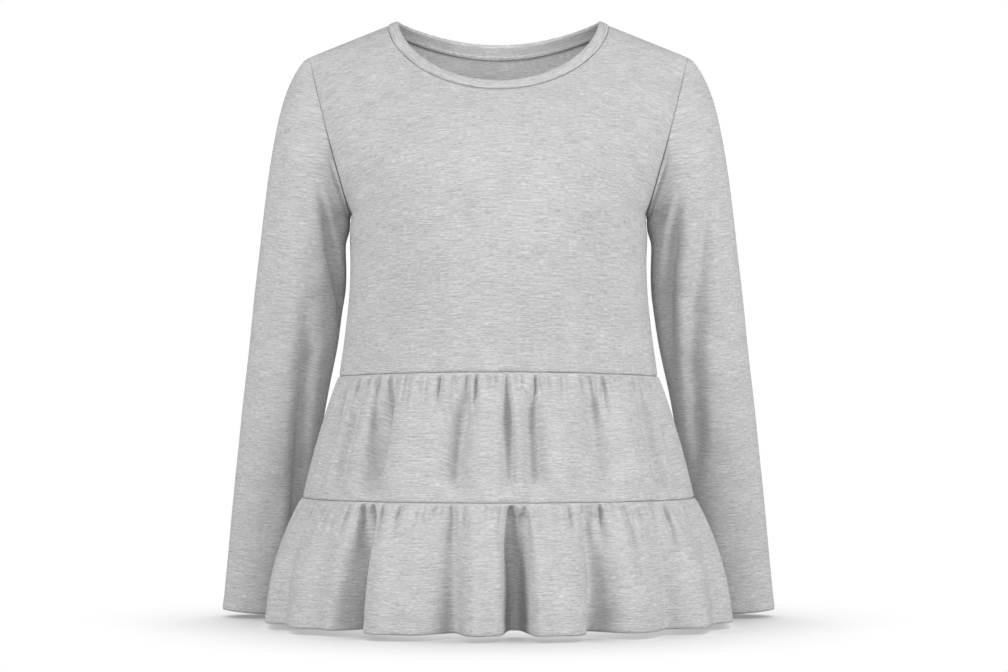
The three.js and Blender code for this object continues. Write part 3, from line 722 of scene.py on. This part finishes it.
for side, hand in (("right", -1), ("left", 1)):
    rings = [0.0]
    for row, after in zip(SLEEVE, SLEEVE[1:]):
        length = Vector((after[1] - row[1], after[2] - row[2])).length
        least = LEAST_STEPS_AT_ARMHOLE if row[0] == 0 else LEAST_STEPS
        steps = max(round(length / SLEEVE_STEP), least)
        rings += [row[0] + (k + 1) / steps for k in range(steps)]
    tube = Cloth(
        [2 * pi * k / SLEEVE_COLUMNS for k in range(SLEEVE_COLUMNS + 1)],
        rings,
        lambda turn, ring: sleeve_point(turn, ring, hand),
        closed=True,
        reverse=hand > 0,
    )

    sleeve_creases = []
    for on_hand, turn0, ring0, turn1, ring1, depth, spread in SLEEVE_CREASES:
        if on_hand == hand:
            ends = (turn0, ring0 * RING_DEGREES, turn1, ring1 * RING_DEGREES)
            sleeve_creases.append((*ends, depth, spread))

    def sleeve_relief(turn, ring, point, edges):
        _, _, top, bottom = edges
        place = (degrees(turn), ring * RING_DEGREES)
        creases = sum(soft_crease(*place, crease) for crease in sleeve_creases)
        fade = 1 - exp(-min(top, bottom) / SLEEVE_CREASE_FADE)
        return creases * fade + rolled(top, ARMHOLE_ROLL) + hem_relief(bottom)

    tube.shape(sleeve_relief)
    stitch_mesh = bmesh.new()
    for above in HEM_ROWS:
        ring_points = [tube.beside(i, 0, "bottom", above) for i in range(tube.wide + 1)]
        stitch_line(stitch_mesh, ring_points)
    tube.fold_back("top", TURNED, SEAM_ALLOWANCE)
    tube.fold_back("bottom", TURNED, HEM_ALLOWANCE)
    piece = tube.finish(side + "_sleeve_cloth", JERSEY_WALL)
    piece.data.materials.append(jersey)
    stitches = sewn(stitch_mesh, side + "_cuff_stitches")
    stitches.data.materials.append(thread)
    for sleeve_piece in (piece, stitches):
        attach(sleeve_piece, "root")
    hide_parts(*(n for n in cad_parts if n.startswith(side) and n.endswith("sleeve")))

# Neckband: one strip of the jersey, cut along the courses, folded lengthwise and sewn to the neckline by
# both edges. Its folded edge stands up and leans in a little.

BAND_CROWN = 0.5  # how far the band swells between its seam and its fold
BAND_FOLD = 1.25  # half its folded thickness
BAND_TURN = (0.36, 0.64)  # shares of the strip between which it turns over at the fold
BAND_OUTER = 0.45  # share of the strip whose directions outwards also place the rest
BAND_PROUD = 0.8  # how far it stands out over the panels
BAND_ROLL = 0.7  # how far its seam pulls it in, and over what width
BAND_ROLL_WIDE = 0.8
BAND_STRIP = 23  # width of the strip between its two seams, laid flat
BAND_SEAM_LINES = (0, 0.02, 0.05, 0.09)  # shares of the strip at the grid's close lines beside a seam
BAND_EVEN = (0.14, 0.86)  # shares between which its lines are evenly spaced
BAND_COLUMNS = 300
BAND_LINES = 9
BAND_WALL = 0.9


def band_point(turn, across):
    """across runs from 0 at the outer seam over the folded edge at 0.5 to the inner seam at 1."""
    side = 1 if cos(turn) < 0 else -1
    middle = pi - turn if cos(turn) < 0 else turn
    rise = 1 - abs(2 * across - 1)
    x, z = on_neckline(middle, rise, side)
    return on_body(x, z, side)


band_shares = [
    *BAND_SEAM_LINES,
    *(mix(*BAND_EVEN, k / BAND_LINES) for k in range(BAND_LINES + 1)),
    *(1 - share for share in reversed(BAND_SEAM_LINES)),
]
band = Cloth(
    [2 * pi * k / BAND_COLUMNS for k in range(BAND_COLUMNS + 1)],
    band_shares,
    band_point,
    closed=True,
    reverse=True,
)
outward = {place: vert.normal.copy() for vert, place in band.where.items()}
last_outer = max(k for k, share in enumerate(band_shares) if share <= BAND_OUTER)
for vert, (i, j) in band.where.items():
    share = band_shares[j]
    out = BAND_PROUD + BAND_FOLD * (cos(pi * smooth(share, *BAND_TURN)) - 1)
    if share < 0.5:
        out += BAND_CROWN * sin(2 * pi * share) + rolled(share * BAND_STRIP, BAND_ROLL, BAND_ROLL_WIDE)
    vert.co += outward[i, min(j, last_outer)] * out
band.bm.normal_update()
piece = band.finish("neckband_cloth", BAND_WALL)
band_jersey = heather_jersey("heather_cotton_band", "#a0a0a0", "#b8b8b8", "#cecece")
piece.data.materials.append(band_jersey)
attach(piece, "root")
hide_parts("neckband")

# Tape: a narrow strip of the same jersey inside the back neck, sewn down over the band's seam from shoulder
# to shoulder. Its lower edge lies on the folded seam allowance.

TAPE_GAP = 3.0  # from the outside of the band to the tape
TAPE_WALL = 0.7
TAPE_TURN = radians(67.5)  # how far it reaches to each side of the centre back
TAPE_EDGES = (0.92, -0.4)  # its top and its lower edge, as shares of the band's height above its seam
TAPE_LIFT = 0.6  # how much farther in the lower edge lies
TAPE_FLAT_FROM = -0.1  # the share above which it lies flat on the band
TAPE_COLUMNS = 110
TAPE_LINES = 8
# Small steps along and up the band, by which its slope is found
STEP_ALONG = 0.01
STEP_UP = 0.02


def on_back_band(turn, share):
    x, z = on_neckline(turn, share, 1)
    return on_body(x, z, 1)


def tape_point(turn, share):
    along = on_back_band(turn + STEP_ALONG, share) - on_back_band(turn - STEP_ALONG, share)
    up = on_back_band(turn, share + STEP_UP) - on_back_band(turn, share - STEP_UP)
    inside = along.cross(up).normalized()
    if inside.y > 0:
        inside.negate()
    lift = TAPE_LIFT * (1 - smooth(share, TAPE_EDGES[1], TAPE_FLAT_FROM))
    return on_back_band(turn, share) + inside * (TAPE_GAP + lift)


tape = Cloth(
    [mix(-TAPE_TURN, TAPE_TURN, k / TAPE_COLUMNS) for k in range(TAPE_COLUMNS + 1)],
    [mix(*TAPE_EDGES, k / TAPE_LINES) for k in range(TAPE_LINES + 1)],
    tape_point,
)
piece = tape.finish("back_neck_tape_cloth", TAPE_WALL)
piece.data.materials.append(band_jersey)
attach(piece, "root")
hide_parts("back_neck_tape")

# Tiers: two rings of the jersey, each cut wider than the edge it is sewn to and gathered on to it, in a
# front and a back piece. The cloth swells out below each seam and falls in uneven folds. The lower tier ends
# in a turned-up hem with two rows of stitches.

# Height, half width, front depth and back depth at the tiers' seams and at the hem
WAIST = BODY[-1]
TIER_SEAM = (-500, 204.5, 140, 122)
HEM = (-627, 242.5, 170, 150)
TIER_LINE = 2.6  # between the grid's lines down a tier
FINE_COLUMNS = 1800  # steps by which the cloth's length round half a tier is measured
PUFF = 1.2  # how far the cloth swells out below a gathered seam
PUFF_ROUND = 5  # distance from the seam over which it swells, and over which it comes in again
PUFF_FADE = 60

GATHER_START = 0.05  # share of the tier over which gathers deepen below its seam
GATHER_HOLD = 0.35  # share of its own reach to which a gather keeps its depth
GATHER_DEEPER = 1.8  # times the depth in the lists below
GATHER_NARROWER = 0.52  # times the spread there, at the seam
GATHER_WIDENING = 2.4  # how many times that width a gather gains by the tier's end
WIDTHS_OUT = 3  # a gather or fold is worked out to this many times its spread
# Gathers: degrees round from the centre front, drift by the tier's end, depth, spread in degrees, and the
# share of the tier that each reaches down
UPPER_GATHERS = (
    (-80, 0, 1.4, 1.5, 0.35), (-71.3, 1, 1.8, 1.5, 0.4), (-65.9, 2, 2.2, 1.5, 0.5),
    (-61.4, 1, 2, 1.5, 0.4), (-56.9, 1, 1.8, 1.5, 0.35), (-50.5, 0, 1.2, 1.3, 0.25),
    (-46, 5, 3, 1.6, 0.95), (-40.5, 4, 3, 1.4, 0.8), (-36.2, 0, 1.8, 1.3, 0.25),
    (-33, 0, 1.8, 1.3, 0.3), (-27.3, 0, 1.3, 1.3, 0.2), (-20.3, 0, 3, 1.4, 0.35),
    (-15, 0, 1.4, 1.3, 0.25), (-10.6, -1.7, 3.2, 1.7, 0.65), (-7.2, -2, 3, 1.3, 0.4),
    (-3.6, 0, 1.7, 1.3, 0.25), (-0.6, 0, 1.4, 1.2, 0.2), (2.9, 0, 2.8, 1.2, 0.9),
    (6.8, 0, 1.5, 1.3, 0.25), (13, -4, 1.8, 1.2, 0.6), (16.4, 0, 1.5, 1.3, 0.25),
    (21.1, 0, 1.5, 1.3, 0.3), (25.3, 0, 1.2, 1.3, 0.2), (29.2, 0, 2, 1.4, 0.3), (33, 0, 2.8, 2, 0.6),
    (38.7, -4, 3, 1.8, 0.55), (46.1, 0, 1.3, 1.4, 0.25), (53.5, 0, 1.3, 1.4, 0.25),
    (61, 0, 1.5, 1.4, 0.3), (67.3, -10, 3.2, 1.8, 0.7), (77, 0, 1.5, 1.5, 0.35), (97, 1, 1.8, 1.5, 0.4),
    (104.5, 0, 2.4, 1.6, 0.45), (111.5, 2, 1.6, 1.5, 0.3), (118, 0, 3.4, 1.8, 0.7),
    (124.5, 0, 1.5, 1.4, 0.3), (130, -2, 2.2, 1.5, 0.45), (136.5, 0, 4.4, 1.8, 0.9),
    (142.5, 0, 1.6, 1.4, 0.3), (149, 1, 2.6, 1.6, 0.5), (155, 0, 1.4, 1.4, 0.25),
    (161.5, 2, 3.8, 1.8, 0.75), (168, 0, 1.6, 1.4, 0.3), (174.5, 0, 2.4, 1.5, 0.4),
    (-178.5, 1, 5, 1.8, 0.92), (-172, 0, 1.6, 1.4, 0.3), (-166, -1, 2.8, 1.6, 0.55),
    (-159, 0, 1.5, 1.4, 0.3), (-152.5, -2, 3.6, 1.8, 0.8), (-146, 0, 1.6, 1.4, 0.25),
    (-139.5, 0, 2.6, 1.6, 0.5), (-133, 1, 1.5, 1.4, 0.3), (-126.5, 0, 4, 1.8, 0.85),
    (-119.5, 0, 1.6, 1.4, 0.3), (-112.5, -1, 2.4, 1.6, 0.5), (-105, 0, 1.6, 1.5, 0.35),
    (-97.5, 0, 1.8, 1.5, 0.4),
)
LOWER_GATHERS = (
    (-81, 0, 1.4, 1.4, 0.3), (-75, 0, 1.6, 1.4, 0.35), (-69.5, 1, 1.8, 1.3, 0.4),
    (-65.2, 1, 1.8, 1.2, 0.4), (-61.5, 1, 2, 1.2, 0.45), (-57.8, 0, 1.8, 1.2, 0.35),
    (-54.2, 0, 1.8, 1.2, 0.35), (-50.6, 0, 1.6, 1.2, 0.3), (-45.5, 0, 2.4, 1.3, 0.4),
    (-41.2, 5, 3.2, 1.4, 0.6), (-37.4, 2, 2.6, 1.3, 0.5), (-33.6, 1, 2.2, 1.3, 0.4),
    (-28, 0, 2.2, 1.3, 0.35), (-22.6, 0, 1.4, 1.3, 0.25), (-17.6, 0, 1.4, 1.3, 0.25),
    (-13, -1, 3, 1.5, 0.6), (-9.2, 0, 2, 1.3, 0.3), (-3.8, 0, 2, 1.3, 0.3), (0.4, 0, 2.4, 1.3, 0.45),
    (3.6, 0, 4.2, 1.5, 0.7), (7.2, 0, 2.8, 1.3, 0.45), (11.4, 0, 1.8, 1.3, 0.3),
    (15.8, 0, 1.5, 1.3, 0.25), (19.6, 0, 2.4, 1.3, 0.3), (25.2, 0, 2, 1.5, 0.5),
    (29.3, -1, 2.8, 1.4, 0.45), (33.3, 0, 1.4, 1.2, 0.25), (37, 0, 2.8, 1.5, 0.7),
    (41.5, 0, 1.4, 1.3, 0.25), (47.1, 0, 1.5, 1.3, 0.3), (54.1, -6, 3, 1.5, 0.65),
    (58.5, 0, 1.8, 1.3, 0.35), (65, 0, 2.2, 1.4, 0.4), (70.5, 0, 1.5, 1.3, 0.3),
    (76.1, 0, 1.6, 1.4, 0.35), (82, 0, 1.4, 1.4, 0.3), (98, 0, 1.8, 1.4, 0.4), (104, 0, 1.5, 1.4, 0.3),
    (110, 2, 2.8, 1.5, 0.55), (116, 0, 1.6, 1.4, 0.3), (122, 0, 2.2, 1.4, 0.4), (128, 0, 3.4, 1.5, 0.7),
    (134, 0, 1.6, 1.3, 0.3), (139.5, 0, 2.4, 1.4, 0.45), (145.5, -2, 1.6, 1.3, 0.3),
    (151, 0, 3.2, 1.5, 0.65), (157, 0, 1.6, 1.3, 0.3), (162.5, 0, 2.4, 1.4, 0.4),
    (168, 1, 1.6, 1.3, 0.3), (173.5, 0, 3.6, 1.5, 0.75), (179.5, 0, 1.8, 1.3, 0.35),
    (-175, 0, 2.2, 1.4, 0.4), (-169, 0, 1.5, 1.3, 0.3), (-163.5, 0, 3, 1.5, 0.6),
    (-157.5, 0, 1.6, 1.3, 0.3), (-151.5, 1, 2.6, 1.4, 0.5), (-146, 0, 1.6, 1.3, 0.3),
    (-140, 0, 3.6, 1.5, 0.7), (-134, 0, 1.6, 1.3, 0.3), (-128.5, 0, 2.2, 1.4, 0.4),
    (-122, 0, 1.6, 1.3, 0.3), (-116, -2, 3, 1.5, 0.6), (-110, 0, 1.6, 1.4, 0.3),
    (-104, 0, 2.2, 1.4, 0.45), (-98, 0, 1.6, 1.4, 0.35),
)
HEM_WAVE_START = 0.12  # share of the lower tier over which its main folds start
HEM_WAVE_POWER = 0.65  # less than 1 makes them grow fast at first and slowly near the hem
UPPER_WAVE = (0.4, 0.78)  # shares of the upper tier between which its main folds are full
# Main folds: place, swing out or in where the fold is fullest, spread in degrees, how far its bottom leans
# over to the wearer's left, and how square its bottom is
LOWER_FOLDS = (
    (-74, 5, 4, 0, 2), (-66, -8, 3.4, 0, 2), (-56, 6, 4, 0, 2), (-48, -4, 3.4, 0, 2),
    (-38.2, -44, 3.2, 12, 2), (-29, 9, 4, 0, 2), (-21.5, 5, 4, 0, 2), (-12.6, -24, 3.8, 6, 2),
    (-5.5, 8, 3.4, 0, 2), (4.5, -52, 3.1, 0, 4), (10.5, 8, 3.4, 0, 2), (17, 6, 3.4, 0, 2),
    (26.2, -32, 3.8, -10, 2), (35, 4, 4, 0, 2), (46, -12, 4, 0, 2), (57, 6, 4, 0, 2), (67, -6, 4, 0, 2),
    (77, 4, 4, 0, 2), (100, 3, 4, 0, 2), (112, -22, 5, 4, 2), (124, 8, 4, 0, 2), (132, -26, 3.4, -6, 2),
    (142, 8, 4, 0, 2), (152, -18, 3.4, 5, 2), (161, 8, 4, 0, 2), (172, -34, 3.4, 6, 2),
    (-178, 8, 4, 0, 2), (-168, -15, 3.4, -4, 2), (-158, 8, 4, 0, 2), (-148, -24, 3.4, 6, 2),
    (-139, 6, 4, 0, 2), (-128, -30, 3.4, -8, 2), (-120, 6, 3.4, 0, 2), (-110, -20, 5, 3, 2),
    (-99, 3, 4, 0, 2),
)
UPPER_FOLDS = (
    (-66, -7, 3, 0, 2), (-54, -9, 2.8, 0, 2), (-40.6, -17, 3.6, 8, 2), (-31, 3, 5, 0, 2),
    (-13.4, -16, 3.4, 3, 2), (-4, 2.5, 3.4, 0, 2), (3, -8, 1.9, 0, 2), (10.9, -12.5, 2.7, -2, 2),
    (19, 3, 5, 0, 2), (32, -10, 4, 0, 2), (44, 3, 4, 0, 2), (56, -10, 3.4, 0, 2), (68, -6, 3, 0, 2),
    (102, -5, 3, 0, 2), (114, -8, 3.2, 3, 2), (131, -10, 3, -3, 2), (141, 3, 4, 0, 2),
    (151, -12, 2.4, 4, 2), (168, -9, 3, -3, 2), (178, 3, 4, 0, 2), (-172, -12, 2.6, 4, 2),
    (-163, 3, 4, 0, 2), (-154, -9, 2.8, -3, 2), (-136, -12, 2.6, 4, 2), (-127, 3, 4, 0, 2),
    (-117, -9, 3.2, 0, 2), (-102, -5, 3, 0, 2),
)


def fullness(tier, down):
    """How full the main folds are on the way down a tier."""
    if tier["hem"]:
        return smooth(down, 0, HEM_WAVE_START) * down**HEM_WAVE_POWER
    full, fading = UPPER_WAVE
    return smooth(down, 0, full) * (1 - smooth(down, fading, 1))


def tier_point(tier, at, down):
    top_z, top_half, *top_depths = tier["top"]
    bottom_z, bottom_half, *bottom_depths = tier["bottom"]
    flare = down * (1 + tier["swell"] * (1 - down))
    turn = radians(at)
    half = mix(top_half, bottom_half, flare)
    behind = cos(turn) < 0
    depth = mix(top_depths[behind], bottom_depths[behind], flare)
    z = mix(top_z + seam_lift(turn, tier["lift"]), bottom_z, down)
    out = Vector((depth * sin(turn), -half * cos(turn), 0)).normalized()
    along = Vector((-out.y, out.x, 0))
    swing = lean = 0
    for place, depth_in, wide, leaning, power in tier["folds"]:
        away = abs(angle_between(at, place)) / wide
        if away < WIDTHS_OUT:
            full = fullness(tier, down) * exp(-(away**power))
            swing += depth_in * full
            lean += leaning * full
    return Vector((half * sin(turn), -depth * cos(turn), z)) + out * swing + along * lean


def even_columns(tier, start, count):
    """Places round half a tier that are evenly spaced along its cloth where its folds are fullest."""
    fine = [start + 180 * k / FINE_COLUMNS for k in range(FINE_COLUMNS + 1)]
    points = [tier_point(tier, at, tier["fullest"]) for at in fine]
    run = [0.0]
    for before, after in zip(points, points[1:]):
        run.append(run[-1] + (after - before).length)
    places = []
    for k in range(count + 1):
        target = run[-1] * k / count
        low = min(max(bisect_right(run, target) - 1, 0), FINE_COLUMNS - 1)
        places.append(mix(fine[low], fine[low + 1], (target - run[low]) / (run[low + 1] - run[low])))
    return places, run[-1]


def gathered(tier, at, down):
    """How far the cloth stands out from the tier's folds with the gathers below its seam."""
    start = smooth(down, 0, GATHER_START)
    widening = GATHER_NARROWER * (1 + GATHER_WIDENING * down)
    out = 0
    for place, drift, depth, wide, far in tier["gathers"]:
        away = angle_between(at, place + drift * down) / (wide * widening)
        if down < far and abs(away) < WIDTHS_OUT:
            left = 1 - smooth(down, far * GATHER_HOLD, far)
            out -= GATHER_DEEPER * depth * start * left * exp(-away * away)
    return out


def small_gathers(seed, count):
    """The many fine puckers of a gathered seam, a few millimetres apart, which die out soon below it."""
    draw = random.Random(seed)
    found = []
    for k in range(count):
        place = -180 + (k + draw.uniform(0.15, 0.85)) * 360 / count
        drift = draw.uniform(-1, 1)
        depth = draw.uniform(0.6, 1.7)
        wide = draw.uniform(0.6, 1.0)
        far = draw.uniform(0.1, 0.34)
        found.append((place, drift, depth, wide, far))
    return tuple(found)


# Each tier: its seam and its end, how much it swells out between them, the seam's lift at the centre front,
# its gathers and folds, the share of its height at which these are fullest, the spacing of the grid's
# columns, its height along the cloth, whether it ends in a hem, and the sizes in metres that its two pieces
# are cut to
TIERS = {
    "upper_tier": {
        "top": WAIST,
        "bottom": TIER_SEAM,
        "swell": 0.27,
        "lift": WAIST_LIFT,
        "gathers": UPPER_GATHERS + small_gathers(seed=11, count=110),
        "folds": UPPER_FOLDS,
        "fullest": 0.5,
        "step": 1.6,
        "tall": 130,
        "hem": False,
        "cut": {"front": (0.68, 0.14), "back": (0.64, 0.14)},
    },
    "lower_tier": {
        "top": TIER_SEAM,
        "bottom": HEM,
        "swell": 0.92,
        "lift": 0,
        "gathers": LOWER_GATHERS + small_gathers(seed=23, count=130),
        "folds": LOWER_FOLDS,
        "fullest": 1,
        "step": 1.8,
        "tall": 134,
        "hem": True,
        "cut": {"front": (0.84, 0.155), "back": (0.80, 0.155)},
    },
}

for tier_name, tier in TIERS.items():
    for part, start in (("front", -90), ("back", 90)):
        _, widest = even_columns(tier, start, 1)
        places, _ = even_columns(tier, start, round(widest / tier["step"]))
        skirt = Cloth(
            places,
            ticks(tier["tall"], TIER_LINE, (True, not tier["hem"])),
            lambda at, down: tier_point(tier, at, down),
        )

        def tier_relief(at, down, point, edges):
            _, _, top, bottom = edges
            puff = PUFF * (1 - exp(-top / PUFF_ROUND)) * exp(-top / PUFF_FADE)
            lower = hem_relief(bottom) if tier["hem"] else rolled(bottom)
            return gathered(tier, at, down) + puff + rolled(top) + lower

        skirt.shape(tier_relief)
        name = tier_name + "_" + part
        with_it = []
        if tier["hem"]:
            stitch_mesh = bmesh.new()
            for above in HEM_ROWS:
                line = [skirt.beside(i, 0, "bottom", above) for i in range(skirt.wide + 1)]
                stitch_line(stitch_mesh, line)
            skirt.fold_back("bottom", TURNED, HEM_ALLOWANCE)
            stitches = sewn(stitch_mesh, part + "_hem_stitches")
            stitches.data.materials.append(thread)
            with_it.append(stitches)
        else:
            skirt.fold_back("bottom", TURNED, SEAM_ALLOWANCE)
        skirt.fold_back("top", TURNED, SEAM_ALLOWANCE)
        piece = skirt.finish(name + "_cloth", JERSEY_WALL)
        piece.data.materials.append(jersey)
        for tier_piece in (piece, *with_it):
            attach(tier_piece, "root")
        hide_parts(name)

# Floor: a sheet of matt white studio paper just under the hem, which isn't part of the garment. It glows
# evenly, with a painted shadow that darkens it where the cloth above hides the white surround from it.
# Lengths from here on are in metres.

FLOOR_Z = -0.6335
FLOOR_SIDE = 14
FLOOR_GLOW = 0.55  # how much light the paper's glow gives the cloth, in place of the light it would throw back
FLOOR_SHADE = 0.16  # how far from the cloth the painted shadow reaches on the paper
FLOOR_DARKEST = 0.2  # how bright the paper stays under the painted shadow where the cloth covers it
floor = bmesh.new()
bmesh.ops.create_grid(floor, x_segments=1, y_segments=1, size=FLOOR_SIDE / 2)
bmesh.ops.translate(floor, vec=(0, 0, FLOOR_Z), verts=floor.verts)
floor_piece = add_object(floor, "studio_floor")
white_paper = empty_material("white_paper")
paper = white_paper.node_tree
# painted shadow: the paper's glow is darkened by how much of the surround the cloth hides from it
open_sky = add(paper, "ShaderNodeAmbientOcclusion", {"samples": 8}, {"Distance": FLOOR_SHADE})
straight = add(paper, "ShaderNodeLightPath", {}, {}).outputs["Is Camera Ray"]
brightness = {"Value": straight, "To Min": FLOOR_GLOW, "To Max": 1.0}
brightness = add(paper, "ShaderNodeMapRange", {}, brightness).outputs[0]
shade = {"Value": open_sky.outputs["AO"], "To Min": FLOOR_DARKEST, "To Max": 1.0}
shade = add(paper, "ShaderNodeMapRange", {}, shade).outputs[0]
brightness = add(paper, "ShaderNodeMath", {"operation": "MULTIPLY"}, {0: brightness, 1: shade}).outputs[0]
glow = add(paper, "ShaderNodeEmission", {}, {"Color": (1, 1, 1, 1), "Strength": brightness}).outputs[0]
add(paper, "ShaderNodeOutputMaterial", {}, {"Surface": glow})
floor_piece.data.materials.append(white_paper)

# Light: an even white surround that gives little light, a large softbox on each side, and weaker ones in
# front and behind. A small lamp inside the neck lights the back of it. None of them can be seen.

SURROUND_LIGHT = 0.24  # the surround looks white and gives this much light
scene = bpy.context.scene
scene.world = bpy.data.worlds.new("white_surround")
scene.world.use_nodes = True
surround = scene.world.node_tree
surround.nodes.clear()
seen = add(surround, "ShaderNodeLightPath", {}, {}).outputs["Is Camera Ray"]
strength = {"Value": seen, "To Min": SURROUND_LIGHT, "To Max": 1.0}
strength = add(surround, "ShaderNodeMapRange", {}, strength).outputs[0]
white = add(surround, "ShaderNodeBackground", {}, {"Color": (1, 1, 1, 1), "Strength": strength})
add(surround, "ShaderNodeOutputWorld", {}, {"Surface": white.outputs[0]})
scene.view_settings.view_transform = "Standard"

# Name, place, what it is aimed at, size, watts and spread in degrees
SOFTBOXES = (
    ("left_softbox", (-2.2, -1.6, 0.4), (0, 0, -0.25), 1.2, 46, 180),
    ("right_softbox", (2.2, -1.6, 0.4), (0, 0, -0.25), 1.2, 52, 180),
    ("front_softbox", (0.1, -2.6, 0.7), (0, 0, -0.25), 1.4, 20, 180),
    ("neck_light", (0, -0.045, -0.055), (0, 0.1, -0.085), 0.08, 0.048, 130),
    ("back_softbox", (0, 2.8, 0.9), (0, 0, -0.3), 1.4, 34, 180),
)
for name, place, target, size, watts, spread in SOFTBOXES:
    data = bpy.data.lights.new(name, "AREA")
    data.shape = "SQUARE"
    data.size = size
    data.energy = watts
    data.spread = radians(spread)
    lamp = bpy.data.objects.new(name, data)
    lamp.location = place
    lamp.rotation_euler = (Vector(target) - Vector(place)).to_track_quat("-Z", "Y").to_euler()
    lamp.visible_camera = False
    scene.collection.objects.link(lamp)

# Camera: 2.2 m in front, level with the waist, tilted up a little.

CAMERA_PLACE = (0.0058, -2.2, -0.399)
CAMERA_TILT = radians(1.75)
CAMERA_VIEW = radians(27.05)
camera_data = bpy.data.cameras.new("camera")
camera_data.sensor_fit = "HORIZONTAL"
camera_data.angle = CAMERA_VIEW
camera = bpy.data.objects.new("camera", camera_data)
camera.location = CAMERA_PLACE
camera.rotation_euler = (pi / 2 + CAMERA_TILT, 0, 0)
scene.collection.objects.link(camera)
scene.camera = camera
